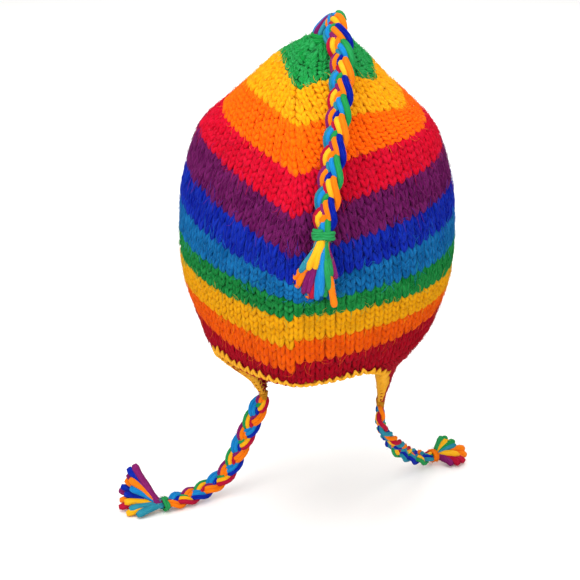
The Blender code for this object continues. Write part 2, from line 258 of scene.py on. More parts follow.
# wool, rows of stitches, and the lower edge's height at nape, left ear, right ear and brow
STRIPES = (
    ("dark_red", 3, 0.000, 0.046, 0.059, 0.141),
    ("low_orange", 3, 0.066, 0.170, 0.141, 0.220),
    ("low_yellow", 4, 0.158, 0.238, 0.207, 0.290),
    ("low_green", 3, 0.245, 0.315, 0.276, 0.365),
    ("light_blue", 3, 0.300, 0.385, 0.366, 0.446),
    ("blue", 3, 0.353, 0.490, 0.460, 0.530),
    ("purple", 4, 0.443, 0.610, 0.552, 0.625),
    ("red", 5, 0.553, 0.722, 0.657, 0.715),
    ("orange", 7, 0.668, 0.792, 0.746, 0.780),
    ("yellow", 6, 0.799, 0.848, 0.809, 0.845),
    ("green", 5, 0.889, 0.937, 0.902, 0.911),
    ("green", 3, 0.950, 0.963, 0.954, 0.954),
    ("green", 0, 0.991, 0.991, 0.991, 0.991),
)
EDGE_HEIGHTS = np.array([stripe[2:] for stripe in STRIPES])
LEVELS = np.arange(len(STRIPES))  # level k is the lower edge of stripe k
# rows by which each of those edges misses itself where the round closes, down the back
JOG_ROWS = (1.0, 1.6, 1.3, 0.9, -0.6, -0.2, 0.2, 0.4, 0.4, 0.0, 0.0, 0.0, 0.0)
ROWS_PER_STRIPE = [stripe[1] for stripe in STRIPES[:-1]]
# drop, width, depth, centre, rear edge right and left, front edge of a flap, rim to tip
FLAP = (
    (0.00, 0.830, 0.850, 0.000, 5 * TURN, 7 * TURN, 16 * TURN),
    (0.12, 0.770, 0.800, -0.036, 49, 60, 132),
    (0.35, 0.645, 0.700, -0.108, 57, 61, 128),
    (0.67, 0.560, 0.550, -0.270, 66, 68, 113),
    (0.86, 0.517, 0.430, -0.304, 73, 74, 107),
    (1.00, 0.485, 0.380, -0.324, 82, 82, 98),
)
FLAP_LEVELS = len(FLAP) - 1
print(sum(ROWS_PER_STRIPE), "rows of knitting in the crown")


# %% Smooth lines through the tables
def through(table, at):
    """The table's values between its rows, along a smooth curve."""
    table, at = np.asarray(table, float), np.asarray(at, float)
    last = len(table) - 1
    i = np.clip(np.floor(at).astype(int), 0, last - 1)
    t = (at - i)[..., None]
    before, here, there, after = (table[np.clip(i + k, 0, last)] for k in (-1, 0, 1, 2))
    bend = (2 * before - 5 * here + 4 * there - after) * t**2
    turn = (3 * here - before - 3 * there + after) * t**3
    return 0.5 * (2 * here + (there - before) * t + bend + turn)


def ring_points(width, nape, brow, ridge, turn):
    """Points of a level section. Turn 0 is the centre back, 90 the wearer's right."""
    angle = np.radians(turn)
    behind = np.cos(angle) > 0
    power = 2 / np.where(behind, ridge, FRONT_RIDGE)
    side = -np.sign(np.sin(angle)) * np.abs(np.sin(angle)) ** power
    depth = np.cos(angle) * np.where(behind, nape, brow)
    return side * width * HALF_WIDTH, depth * HALF_DEPTH


def crown_line(level, turn):
    """Points of the crown's outside, level counting the stripes' lower edges from the rim."""
    back, left, right, front = through(EDGE_HEIGHTS, level)
    side = np.where(np.sin(np.radians(turn)) > 0, right, left)
    forward = (1 - np.cos(np.radians(turn))) ** CLIMB
    brow = 2**CLIMB
    bend = (front - back - (side - back) * brow) / (brow * (brow - 1))
    height = back + (side - back) * forward + bend * forward * (forward - 1)
    width, nape, front_share, ridge, lean = through(PROFILE, height * (len(PROFILE) - 1)).T
    x, y = ring_points(width, nape, front_share, ridge, turn)
    return np.stack([x - lean * HALF_WIDTH, y, RIM_BACK + height * CROWN_HEIGHT], axis=1)


def flap_edges(level, side):
    """Turns of a flap's rear and front edge, level as in flap_line, side 1 for the right flap."""
    row = through(FLAP, level)
    return side * row[4 if side > 0 else 5], side * row[6]


def flap_line(level, turn):
    """Points of a flap's outside, level counting the rows of its table down from the rim."""
    rim = crown_line(0, turn)
    rows = [rim]
    for drop, width, depth, centre, *_ in FLAP[1:]:
        x, y = ring_points(width, depth, depth, FLAP_RIDGE, turn)
        z = rim[:, 2] + (FLAP_TIP - rim[:, 2]) * drop
        rows.append(np.stack([x, y + centre * HALF_DEPTH, z], axis=1))
    return through(np.array(rows).reshape(len(rows), -1), level).reshape(-1, 3)


# %% [markdown]
# ## A map of the fabric
# Stitches are spaced by length along a row, not by angle, so each face is sampled on even shares of
# its rows' lengths. Any place is then told by a level, a share of the row and a depth, and whole
# arrays of places are found at once.

# %% Sampled faces
ACROSS = 480  # samples along a row


def sampled_face(levels, line_at, closed):
    """Points and smoothed normals of a face, a row of them for each level."""
    found = [evenly(line_at(level), ACROSS) for level in levels]
    points = np.array([line for line, _ in found])
    around = np.gradient(points, axis=1)
    if closed:
        around[:, 0] = around[:, -1] = (points[:, 1] - points[:, -2]) / 2
    normals = unit(np.cross(around, np.gradient(points, axis=0)))
    for _ in range(6):
        before, after = np.roll(normals, 1, axis=1), np.roll(normals, -1, axis=1)
        if closed:
            before[:, 0], after[:, -1] = normals[:, -2], normals[:, 1]
        else:
            before[:, 0], after[:, -1] = normals[:, 0], normals[:, -1]
        normals = (before + 2 * normals + after) / 4
    lengths = np.array([length for _, length in found])
    return SimpleNamespace(
        levels=levels, points=points, normals=unit(normals), lengths=lengths, closed=closed
    )


def row_length(face, level):
    return np.interp(level, face.levels, face.lengths)


def on_face(face, level, share, out):
    """Places on a face, each so many metres out of it."""
    y = (np.asarray(level) - face.levels[0]) / (face.levels[1] - face.levels[0])
    x = (np.mod(share, 1) if face.closed else np.asarray(share)) * ACROSS
    i = np.clip(np.floor(y).astype(int), 0, len(face.levels) - 2)
    j = np.clip(np.floor(x).astype(int), 0, ACROSS - 1)
    # Beyond its first and last row the face runs on straight for a while.
    fy, fx = np.clip(y - i, -8, 2)[..., None], (x - j)[..., None]

    def between(grid):
        low = grid[i, j] * (1 - fx) + grid[i, j + 1] * fx
        high = grid[i + 1, j] * (1 - fx) + grid[i + 1, j + 1] * fx
        return low * (1 - fy) + high * fy

    return between(face.points) + between(face.normals) * np.asarray(out)[..., None]


crown_face = sampled_face(
    np.linspace(0, LEVELS[-1], 20 * LEVELS[-1] + 1),
    lambda level: crown_line(level, np.linspace(0, 360, 721)),
    True,
)
flap_faces = {}
for flap_name, side in (("earflap_right", 1), ("earflap_left", -1)):
    flap_faces[flap_name] = sampled_face(
        np.linspace(-FLAP_LEVELS, 0, 101),
        lambda level: flap_line(-level, np.linspace(*sorted(flap_edges(-level, side)), 181)),
        False,
    )
rim, widest = crown_face.lengths[0], crown_face.lengths.max()
print("rim", round(rim * 1000), "mm round, widest", round(widest * 1000))

# %% [markdown]
# ## Yarn
# Every yarn is a tube. A flat grid is rolled up, its seam is merged and its two ends are closed by
# drawing them in, so one small function serves for a stitch's leg, a plait's strand and a cut end.
# It leaves each vertex's place along and round the tube in two layers.

# %% Rolled tubes
def rolled_tube(bm, segments, sides):
    """A closed tube from a grid: x says how far round a vertex is, y how far along, both 0 to 1."""
    along = bm.verts.layers.float.get("t") or bm.verts.layers.float.new("t")
    around = bm.verts.layers.float.get("a") or bm.verts.layers.float.new("a")
    made = bmesh.ops.create_grid(bm, x_segments=sides, y_segments=segments, size=0.5)["verts"]
    for v in made:
        v[along], v[around] = v.co.y + 0.5, v.co.x + 0.5
        v.co = (cos(2 * pi * v[around]), v[along], sin(2 * pi * v[around]))
    bmesh.ops.remove_doubles(bm, verts=made, dist=1e-5)
    made = [v for v in made if v.is_valid]
    rims = {e for v in made for e in v.link_edges if e.is_boundary}
    bmesh.ops.holes_fill(bm, edges=list(rims), sides=0)
    return made


def new_piece(name, mesh, materials, node):
    """A finished piece: smooth, at the origin, riding on the hat and standing for a CAD node."""
    mesh.polygons.foreach_set("use_smooth", np.ones(len(mesh.polygons), bool))
    for material in materials:
        mesh.materials.append(material)
    piece = new_object(name, mesh)
    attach(piece, "root")
    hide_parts(node)
    return piece


# %% [markdown]
# ## One stitch
# Seen from outside, a stocking stitch is a V of two plump legs. A leg comes out between the legs of
# the stitch below, swells, leans outwards and dives behind the stitch above, so it is drawn with
# its bottom in front of its top. Inside, the same loop shows as one wavy bump. A core behind the
# legs is the yarn that no light reaches, and it, the bump and the legs' sunken parts are darkened
# with painted shade. The stitch is 1 wide and 1 high, and its depths are in metres, so the fabric
# can stretch it to any row.

# %% The stitch
LEG_RADIUS = 0.0019
LEG_DEPTH = -0.0010  # of the leg's middle, under the fabric's outside
CORE_DEPTH = -0.0026
BUMP_DEPTH = -0.0040
LEG, BUMP, CORE = 0, 1, 2


def leg_shape(t, a, mirror):
    """Where a point of a leg is, t along it and a round it: across, up and out of the stitch."""
    lean = 0.09 + 0.30 * t**0.9
    swell = max(0.0, sin(pi * (0.07 + 0.86 * t))) ** 0.5
    sink = 0.0028 * max(0.0, (t - 0.35) / 0.65) ** 1.6 + 0.0006 * max(0.0, 1 - 4 * t)
    across = mirror * (lean + 0.262 * swell * cos(a))
    up = -0.46 + 1.72 * t
    out = LEG_DEPTH - sink + LEG_RADIUS * 0.85 * swell * sin(a)
    return across, up, out


def stitch_pattern():
    bm = bmesh.new()
    t_layer, a_layer, kind = (bm.verts.layers.float.new(name) for name in ("t", "a", "kind"))
    for mirror in (1, -1):
        for v in rolled_tube(bm, 5, 6):
            v.co = leg_shape(v[t_layer], 2 * pi * v[a_layer] - pi / 2, mirror)
            v[kind] = LEG
    for v in rolled_tube(bm, 4, 4):
        wave = 0.55 - 0.30 * cos(2 * pi * v[t_layer])
        angle = 2 * pi * v[a_layer]
        v.co = (v[t_layer] - 0.5, wave + 0.26 * cos(angle), BUMP_DEPTH + 0.0015 * sin(angle))
        v[kind] = BUMP
    core = bmesh.ops.create_cube(bm, size=1)["verts"]
    for v in core:
        v[kind] = CORE
        v.co = (v.co.x, 0.5 + v.co.y, CORE_DEPTH + 0.0012 * v.co.z)
    return new_mesh("stitch_pattern", bm, outwards=True)


def hair_pattern():
    """One stray hair: a three-sided spindle."""
    bm = bmesh.new()
    for name in ("t", "a", "kind"):
        bm.verts.layers.float.new(name)
    rolled_tube(bm, 3, 3)
    return new_mesh("hair_pattern", bm, outwards=True)


# %% The stitch and the hair as arrays
def points_of(mesh):
    places = np.empty(len(mesh.vertices) * 3, np.float32)
    mesh.vertices.foreach_get("co", places)
    return places.reshape(-1, 3)


def read(mesh, name):
    """The values that a mesh's points have for an attribute."""
    values = np.empty(len(mesh.vertices), np.float32)
    mesh.attributes[name].data.foreach_get("value", values)
    return values


pattern = stitch_pattern()
ACROSS_STITCH, UP_STITCH, OUT_STITCH = points_of(pattern).T.astype(float)
T, A, KIND = (read(pattern, name) for name in ("t", "a", "kind"))
hair = hair_pattern()
HAIR_T, HAIR_A = read(hair, "t"), read(hair, "a")
print(len(pattern.vertices), "points and", len(pattern.polygons), "faces in a stitch")

# %% [markdown]
# ## Rows of stitches
# The crown has four wedges. Up to the ears each wedge keeps its twenty-one stitches, which stretch
# with the hat. Above, stitches stay their size and a wedge loses them at its sides, which draws the
# hat to a point and makes the four lines of decreases. There the fabric pulls down, so the rows dip
# and the colours meet in points. Knitting in the round is a spiral, so a stripe's end misses its
# start by a row or so: that is the jog down the back.

# %% Placing the stitches
WEDGES = 4
STITCHES_ROUND = 84
FIRST_DECREASE = 5  # the level up to which no stitch is lost
DECREASED_WALE = 0.0074
DIP_ROWS = 2.6
DIP_FROM, DIP_OVER = 7.0, 3.5  # levels
DIP_MIDDLE = 0.4  # of a dip, so that the rows rise a little between the lines
DRIFT = 8.5 / 360  # of a round, by which the lines of decreases move in each stripe
DRIFT_FROM, DRIFT_OVER = 8, 2.4  # levels
noise = np.random.default_rng(12)
row_edges = np.concatenate([[0], np.cumsum(ROWS_PER_STRIPE)])


def level_of_row(row):
    return np.interp(row, row_edges, LEVELS) + np.minimum(row, 0) / ROWS_PER_STRIPE[0]


def crown_wale(level):
    """Width of a stitch at this level."""
    stretched = row_length(crown_face, level) / STITCHES_ROUND
    return np.where(level < FIRST_DECREASE, stretched, np.maximum(stretched, DECREASED_WALE))


def drift(level):
    """How far the lines of decreases have wandered round by this level, as a share."""
    return -DRIFT * np.clip(np.asarray(level) - DRIFT_FROM, 0, DRIFT_OVER)


def dip(share, level):
    """Rows that the lines of decreases pull the fabric down by."""
    half = pi / WEDGES
    angle = 2 * half * (np.mod((share - drift(level)) * WEDGES, 1) - 0.5)
    corner = (cos(half) / np.cos(angle) - cos(half)) / (1 - cos(half))
    rise = np.clip((level - DIP_FROM) / DIP_OVER, 0, 1)
    return DIP_ROWS * rise * rise * (3 - 2 * rise) * (corner - DIP_MIDDLE)


def stitches_in_row(row, length, wedges, wale):
    """Left and right side of each stitch of a row, counted in wales from its wedge's middle."""
    half = length / wedges / 2
    sides = int(half / wale + 0.05 - 1e-6)
    inner = [k + 0.5 for k in range(sides)]
    edges = [-np.inf] + [-k for k in inner[::-1]] + inner + [np.inf]
    return [
        (row, (wedge + 0.5) / wedges, left, right)
        for wedge in range(wedges)
        for left, right in zip(edges, edges[1:])
    ]


def settled(rows, share, level):
    """Rows of the crown with the jog down the back and the pull of the decreases."""
    jog = np.interp(level, LEVELS, JOG_ROWS) * (0.5 - share)
    return rows + jog - dip(share + drift(level), level)


# %% Stray hairs on the fabric
HAIRS_PER_STITCH = 3.3
HAIR_RADIUS = 0.00012  # some five times the real one, the least that shows in the picture
ROW_HEIGHT = 0.0048  # about, to give the hairs their slopes


def spin_hairs(lines):
    """Each line of four places thickened to a hair, pointed at both ends."""
    heading = np.gradient(lines, axis=1)
    one = unit(np.cross(heading, noise.normal(size=(len(lines), 1, 3))))
    other = unit(np.cross(heading, one))
    at = np.rint(HAIR_T * 3).astype(int)
    thick = HAIR_RADIUS * np.array((0.7, 1.0, 0.8, 0.25))[at][None, :, None]
    angle = 2 * pi * HAIR_A[None, :, None]
    return lines[:, at] + thick * (one[:, at] * np.cos(angle) + other[:, at] * np.sin(angle))


def hairs_on(face, to_level, stitches):
    """Stray hairs: they start on a stitch, run mostly along its legs and lift off the fabric."""
    count = round(len(stitches) * HAIRS_PER_STITCH)
    chosen = np.array(stitches, float)[noise.integers(0, len(stitches), count)]
    row = chosen[:, :1] + noise.uniform(-0.3, 1.0, (count, 1))
    level = to_level(row)
    length_here = row_length(face, level)
    left, right = chosen[:, 2:3], chosen[:, 3:4]
    first = np.where(np.isfinite(left), left, np.where(np.isfinite(right), right - 1, -0.5))
    wales = first + noise.uniform(0, 1, (count, 1))
    share = chosen[:, 1:2] + wales * DECREASED_WALE / length_here
    reach = noise.uniform(0.003, 0.0085, (count, 1))
    heading = pi / 2 + noise.normal(size=(count, 1)) * 0.75 + pi * noise.integers(0, 2, (count, 1))
    t = np.linspace(0, 1, 4)[None]
    bent = heading + noise.normal(size=(count, 1)) * 0.7 * t
    rows = row + reach * t * np.sin(bent) / ROW_HEIGHT
    shares = share + reach * t * np.cos(bent) / length_here
    lift = np.abs(noise.normal(size=(count, 1))) * 0.0011
    if face.closed:
        level = to_level(rows)
        rows = settled(rows, shares % 1, level)
        shares = shares + drift(level)
    return spin_hairs(on_face(face, to_level(rows), shares, 0.0004 + lift * t**1.5))


# %% Knitting one piece
LEG_LENGTH_MM, LEG_ROUND_MM = 9.5, 11


def knit(name, face, rows, to_level, wale_at, wedges, wool, node):
    """Rows of stitches along the face, each stitch a copy of the pattern, as one piece."""
    stitches = []
    for row in rows:
        level = to_level(row + 0.5)
        stitches += stitches_in_row(row, row_length(face, level), wedges, wale_at(level))
    row, middle, left, right = (column[:, None] for column in np.array(stitches, float).T)
    count, size = len(stitches), len(pattern.vertices)
    random = noise.normal(size=(count, 5))
    across = ACROSS_STITCH * (1 + 0.05 * random[:, :1]) + 0.035 * random[:, 1:2]
    up = UP_STITCH * (1 + 0.05 * random[:, 2:3]) + 0.04 * random[:, 3:4]
    # Only the legs differ from stitch to stitch: what is behind them has to stay closed.
    behind = KIND[None] > LEG
    across = np.where(behind, ACROSS_STITCH, across)
    up = np.where(behind, UP_STITCH, up)
    out = OUT_STITCH + np.where(behind, 0, 0.00022 * random[:, 4:5])

    def share_of(level):
        length = row_length(face, level)
        half = length / wedges / 2
        start = np.maximum(left * wale_at(level), -half)
        end = np.minimum(right * wale_at(level), half)
        return middle + (start + (end - start) * (across + 0.5)) / length

    rows = row + up
    if face.closed:
        level = to_level(row + 0.5 + 0 * up)
        rows = settled(rows, share_of(level), level)
    level = to_level(rows)
    share = share_of(level) + (drift(level) if face.closed else 0)
    places = on_face(face, level, share, out)

    strays = hairs_on(face, to_level, stitches)
    bm = bmesh.new()
    for _ in range(count):
        bm.from_mesh(pattern)
    for _ in range(len(strays)):
        bm.from_mesh(hair)
    mesh = new_mesh(name, bm)
    places = np.concatenate([places.reshape(-1, 3), strays.reshape(-1, 3)])
    mesh.vertices.foreach_set("co", places.astype(np.float32).ravel())
    each = np.repeat(noise.random(count), size)
    # Painted shade: the legs darken as they sink into the fabric, the core and the bump by fixed
    # shares.
    shade_share = np.clip((-OUT_STITCH - 0.0012) / 0.0024, 0, 1) ** 1.3
    shade_share = np.where(KIND == CORE, 0.6, np.where(KIND == BUMP, 0.2, 0.55 * shade_share))
    # Stray hairs take no painted shade, and their numbers of 1.5 to 4 give them the painted
    # highlight.
    pale = np.repeat(noise.uniform(1.5, 4.0, len(strays)), len(HAIR_T))
    for label, values, on_hairs in (
        ("along_mm", np.tile(T * LEG_LENGTH_MM, count) + each * 40, pale * 9),
        ("around_mm", np.tile(A * LEG_ROUND_MM, count), pale * 5),
        ("depth", np.tile(shade_share, count), pale * 0),
        ("each", each, pale),
    ):
        values = np.concatenate([values, on_hairs]).astype(np.float32)
        mesh.attributes.new(label, "FLOAT", "POINT").data.foreach_set("value", values)
    return new_piece(name, mesh, [wools[wool]], node)


# %% [markdown]
# ## The striped crown
# Each stripe is a piece of its own. It takes its rows from the table, and its lowest stitches reach
# down over the stripe below, which gives the toothed border that knitted stripes have.

# %% Knitting the crown
triangles = 0
first = 0
for number, (wool, rows, *_) in enumerate(STRIPES[:-1]):
    rows = range(first, first + rows)
    name = f"stripe_{number:02d}_{wool}"
    stripe = knit(name, crown_face, rows, level_of_row, crown_wale, WEDGES, wool, "crown")
    first = rows.stop
    triangles += sum(len(p.vertices) - 2 for p in stripe.data.polygons)
    print(name, "rows", rows.start, "to", first)
print("crown triangles", triangles)

# %% [markdown]
# ## Earflaps
# The flaps are knitted from their tips up in the same dark red, one more stitch at each side every
# other row, and they run on into the rim.

# %% Knitting the flaps
FLAP_ROWS = 14
FLAP_WALE = 0.0073


def flap_level(row):
    return -FLAP_LEVELS + np.asarray(row) * FLAP_LEVELS / FLAP_ROWS


def flap_wale(level):
    return FLAP_WALE + 0 * level


for flap_name, face in flap_faces.items():
    name = f"knitted_{flap_name}"
    knit(name, face, range(FLAP_ROWS), flap_level, flap_wale, 1, "dark_red", flap_name)
    print(name, FLAP_ROWS, "rows")

# %% [markdown]
# ## Lengths of yarn
# Plaits, wraps, tassels and the edging are lengths of yarn that follow a line. A rolled tube is
# threaded on the line, and each of its rings is turned square to it.

# %% Threading a tube on a line
def smooth_line(stops, step):
    """A smooth line through the stops, in equal steps of about that length."""
    fine = through(stops, np.linspace(0, len(stops) - 1, 40 * len(stops)))
    return evenly(fine, max(2, round(line_length(fine) / step)))[0]


def tangents(line):
    return unit(np.gradient(line, axis=0))


def square_frames(line, facing):
    """Along, facing and sideways at each point, facing kept square to the line."""
    along = tangents(line)
    facing = np.broadcast_to(np.asarray(facing, float), line.shape)
    facing = unit(facing - (facing * along).sum(axis=1, keepdims=True) * along)
    return along, facing, np.cross(along, facing)


def carried_frames(line):
    """Two directions square to the line, carried along it with no twist."""
    along = tangents(line)
    first = np.cross(along[0], (0.31, 0.42, 0.85))
    side = np.empty_like(line)
    for i, direction in enumerate(along):
        first = unit(first - direction * first.dot(direction))
        side[i] = first
    return side, np.cross(along, side)


def upright_coil(turns, radii, heights):
    angle = np.linspace(0, 2 * pi * turns, len(radii))
    return np.stack([radii * np.cos(angle), radii * np.sin(angle), heights], axis=1)


def new_yarns():
    """An empty bmesh with the layers that yarns fill in."""
    bm = bmesh.new()
    for layer in ("t", "a", "along_mm", "around_mm", "depth", "each"):
        bm.verts.layers.float.new(layer)
    return bm


def add_yarn(bm, line, radius, sides=7, wool=0, shade=0.0, blunt=0.6):
    """One yarn along the line, its ends drawn in to the share blunt, in the given material."""
    segments = len(line) - 1
    one, other = carried_frames(line)
    step = line_length(line) / segments
    radii = np.broadcast_to(np.asarray(radius, float), len(line)).copy()
    radii[0] *= blunt
    radii[-1] *= blunt
    layers = bm.verts.layers.float
    number = float(noise.random())
    for v in rolled_tube(bm, segments, sides):
        i = round(v[layers["t"]] * segments)
        angle = 2 * pi * v[layers["a"]]
        ring = one[i] * cos(angle) + other[i] * sin(angle)
        v.co = line[i] + ring * radii[i]
        v[layers["along_mm"]] = i * step * 1000 + 60 * number
        v[layers["around_mm"]] = 2 * pi * v[layers["a"]] * radii[i] * 1000
        v[layers["depth"]] = shade
        v[layers["each"]] = number
        for face in v.link_faces:
            face.material_index = wool


# %% Hairy yarn and finished pieces
def strays_along(line, along, radius, count):
    """Stray hairs on a bundle of yarns: they leave its sides and curl off."""
    i = noise.integers(1, len(line) - 1, count)
    out = unit(np.cross(along[i], noise.normal(size=(count, 3))))
    lean = along[i] * noise.uniform(-1, 1, (count, 1))
    lean += np.cross(along[i], out) * noise.uniform(-0.7, 0.7, (count, 1))
    reach = noise.uniform(0.002, 0.005, (count, 1))
    start = line[i] + out * radius * noise.uniform(0.85, 1.05, (count, 1))
    bend = out * noise.uniform(0.0, 0.6, (count, 1))
    places = [start + (lean * t + bend * t * t) * reach for t in (0, 0.33, 0.67, 1)]
    return np.stack(places, axis=1)


def yarn_piece(name, bm, dyes, node, strays=(), stray_dyes=(0,)):
    """The yarns gathered so far and their stray hairs as one piece, a material for each dye."""
    mesh = new_mesh(name, bm, outwards=True)
    if len(strays):
        lines = np.concatenate(strays)
        points, faces = len(mesh.vertices), len(mesh.polygons)
        bm = bmesh.new()
        bm.from_mesh(mesh)
        for _ in lines:
            bm.from_mesh(hair)
        bm.to_mesh(mesh)
        bm.free()
        places = points_of(mesh)
        places[points:] = spin_hairs(lines).reshape(-1, 3)
        mesh.vertices.foreach_set("co", places.ravel())
        # The hairs' numbers of 1.5 to 4 give them the bright colour as a painted highlight.
        pale = read(mesh, "each")
        pale[points:] = np.repeat(1.5 + 2.5 * noise.random(len(lines)), len(HAIR_T))
        mesh.attributes["each"].data.foreach_set("value", pale)
        dye_of = np.empty(len(mesh.polygons), np.int32)
        mesh.polygons.foreach_get("material_index", dye_of)
        in_group = [len(hair.polygons) * len(group) for group in strays]
        dye_of[faces:] = np.repeat(stray_dyes, in_group)
        mesh.polygons.foreach_set("material_index", dye_of)
    return new_piece(name, mesh, [wools[dye] for dye in dyes], node)


# %% [markdown]
# ## Three plaits
# Each plait has three strands, and each strand is a ribbon of three yarns in its own colours. A
# strand weaves from side to side while it rises and sinks twice as often: that is all a plait is.
# The long one hangs from the tip down the back. The two ties leave the flaps' points, hang, and lie
# on the ground at their ends. They are made first, because their lengths are fixed.

# %% The plaits' routes
TOP_ROUTE = (
    (-0.0115, -0.0030, 0.0700),
    (-0.0136, 0.0099, 0.0668),
    (-0.0161, 0.0226, 0.0628),
    (-0.0214, 0.0311, 0.0543),
    (-0.0230, 0.0410, 0.0452),
    (-0.0238, 0.0505, 0.0356),
    (-0.0242, 0.0597, 0.0258),
    (-0.0242, 0.0684, 0.0154),
    (-0.0239, 0.0765, 0.0047),
    (-0.0232, 0.0839, -0.0066),
    (-0.0223, 0.0904, -0.0184),
    (-0.0214, 0.0964, -0.0305),
    (-0.0205, 0.1020, -0.0427),
    (-0.0200, 0.1065, -0.0554),
    (-0.0200, 0.1073, -0.0579),
)
TIE_DROP = 0.080  # from a flap's tip to the ground; the bends are shares of it
FLAP_END = {"left": (0.0464, -0.0360, -0.2404), "right": (-0.0463, -0.0360, -0.2404)}
TIE_BENDS = {
    "left": (
        (0.00, 0.00, -0.012),
        (0.12, 0.02, -0.30),
        (0.23, 0.02, -0.55),
        (0.34, 0.08, -0.80),
        (0.47, 0.16, -0.92),
        (0.66, 0.32, -0.99),
        (0.91, 0.54, -1.00),
    ),
    "right": (
        (0.00, 0.00, -0.013),
        (-0.01, -0.03, -0.24),
        (-0.06, -0.18, -0.43),
        (-0.17, -0.45, -0.72),
        (-0.33, -0.74, -0.93),
        (-0.47, -0.93, -0.99),
    ),
}
STEP = 0.0022  # along a plait's line
WRAP = 0.007  # length of a plait that its wrap covers
plait_lines = {"top": smooth_line(TOP_ROUTE, STEP)}
for side_name, bends in TIE_BENDS.items():
    stops = np.array(FLAP_END[side_name]) + np.array(bends) * TIE_DROP
    plait_lines[side_name] = smooth_line(stops, STEP)
# A plait faces away from the hat, and a tie turns from facing back to facing up.
hat_middle = np.array((-0.012, -0.010, -0.020))
facings = {"top": plait_lines["top"] - hat_middle}
for side_name in TIE_BENDS:
    share = np.linspace(0, 1, len(plait_lines[side_name]))[:, None]
    facings[side_name] = (1 - share) * (0, 1, 0.1) + share * (0, 0.35, 1)
print({key: round(line_length(line), 4) for key, line in plait_lines.items()})

# %% Plaiting
# half width, half thickness of the strands' paths, yarn radius, length of one full weave
PLAIT_SHAPES = {
    "top": (0.0044, 0.0025, 0.0022, 0.043),
    "left": (0.0036, 0.0020, 0.00175, 0.036),
    "right": (0.0032, 0.0021, 0.00170, 0.036),
}
# degrees by which a plait is turned about its length, at its start and at its end
TURNED = {"top": (48, 40), "left": (0, 0), "right": (85, 5)}
PASSES = {"top": 1, "left": -1, "right": 1}  # which way a strand moves while it lies on top
# the dyes of each strand's yarns
STRANDS = {
    "top": (("plum", "amber", "blue"), ("crimson", "gold", "amber"), ("teal", "sky", "leaf")),
    "left": (("sky", "sky", "blue"), ("plum", "amber", "amber"), ("leaf", "gold", "crimson")),
    "right": (("teal", "blue", "teal"), ("leaf", "gold", "crimson"), ("blue", "teal", "amber")),
}
SPREAD = {"top": 1.62, "left": 1.5, "right": 1.3}  # of a strand's yarns, in yarn radii
WRAP_STARTS = {"top": -WRAP, "left": -0.0030, "right": -0.0030}  # measured from the plait's end
PLAIT_NODES = {"top": "top_braid", "left": "tie_left", "right": "tie_right"}


def plait(key):
    """Three strands woven along the plait's line, three yarns side by side in each."""
    line = plait_lines[key]
    _, facing, side = square_frames(line, facings[key])
    turn = np.radians(np.linspace(*TURNED[key], len(line)))[:, None]
    facing, side = (
        facing * np.cos(turn) + side * np.sin(turn),
        side * np.cos(turn) - facing * np.sin(turn),
    )
    half_width, half_thick, radius, weave = PLAIT_SHAPES[key]
    run = run_along(line)
    bound = run[-1] + WRAP_STARTS[key]
    # Towards both ends the strands draw together.
    ends = np.clip(np.minimum(run + 0.005, bound - run + 0.006) / 0.014, 0.35, 1)[:, None]
    dyes = sorted({dye for strand in STRANDS[key] for dye in strand})
    strays, stray_dyes = [], []
    bm = new_yarns()
    for number, strand in enumerate(STRANDS[key]):
        phase = 2 * pi * (run / weave + number / 3)
        middle = line + ends * (
            side * (half_width * np.sin(phase))[:, None]
            + facing * (PASSES[key] * half_thick * np.sin(2 * phase))[:, None]
        )
        across = unit(np.cross(facing, tangents(middle)))
        for place, dye in zip((-1, 0, 1), strand):
            yarn = middle + across * place * radius * SPREAD[key] * (0.55 + 0.45 * ends)
            yarn = yarn + facing * radius * (0.45 if place == 0 else 0)
            add_yarn(bm, yarn, radius * 1.06, wool=dyes.index(dye))
            strays.append(strays_along(yarn, tangents(yarn), radius, round(run[-1] * 260)))
            stray_dyes.append(dyes.index(dye))
    piece = yarn_piece(f"plait_{key}", bm, dyes, PLAIT_NODES[key], strays, stray_dyes)
    print(piece.name, round(run[-1] * 1000), "mm", len(piece.data.polygons), "faces")
    return piece


plaits = {key: plait(key) for key in plait_lines}

# %% [markdown]
# ## Wraps and tassels
# A few tight turns of yarn bind each plait's end, and the yarns spring apart beyond it. Each cut
# end is told by its dye and by where its tip lies, measured from the wrap. They keep apart by
# starting in a small ring and bowing a little outwards.

# %% Wraps
WRAP_TURNS = {"top": 3.6, "left": 2.4, "right": 2.4}
WRAP_TIGHT = {"top": 1.0, "left": 0.80, "right": 0.78}  # of the bundle at the cut ends' roots
WRAP_DYES = {"top": "leaf", "left": "leaf", "right": "amber"}
WRAP_PITCH = 0.0018
WRAP_YARN = 0.00135  # radius
# half width and half thickness of the bundle inside the wrap
BUNDLES = {"top": (0.0068, 0.0048), "left": (0.0064, 0.0050), "right": (0.0060, 0.0048)}


def plait_end(key):
    """The plait's end with its three directions: along, facing away, sideways."""
    line = plait_lines[key]
    return (line[-1], *(direction[-1] for direction in square_frames(line, facings[key])))


def wrap(key):
    """The turns of yarn round a plait's end."""
    end, along, facing, side = plait_end(key)
    wide, thick = BUNDLES[key]
    bm = new_yarns()
    angle = np.linspace(0, 2 * pi * WRAP_TURNS[key], 72)[:, None]
    advance = WRAP_STARTS[key] + WRAP_PITCH * angle / (2 * pi) + 0.0003 * np.sin(3.3 * angle)
    snug = (1 + 0.05 * np.sin(2.7 * angle)) * WRAP_TIGHT[key]
    ring = facing * np.cos(angle) * thick + side * np.sin(angle) * wide
    add_yarn(bm, end + along * advance + snug * ring, WRAP_YARN, 6)
    hairs_line = end + along * (WRAP_STARTS[key] + np.linspace(0, WRAP, 8)[:, None])
    strays = strays_along(hairs_line, np.tile(along, (8, 1)), thick + 0.0012, 40)
    return yarn_piece(f"wrap_{key}", bm, [WRAP_DYES[key]], f"{PLAIT_NODES[key]}_wrap", [strays])


wraps = {key: wrap(key) for key in plait_lines}
print(*(piece.name for piece in wraps.values()))

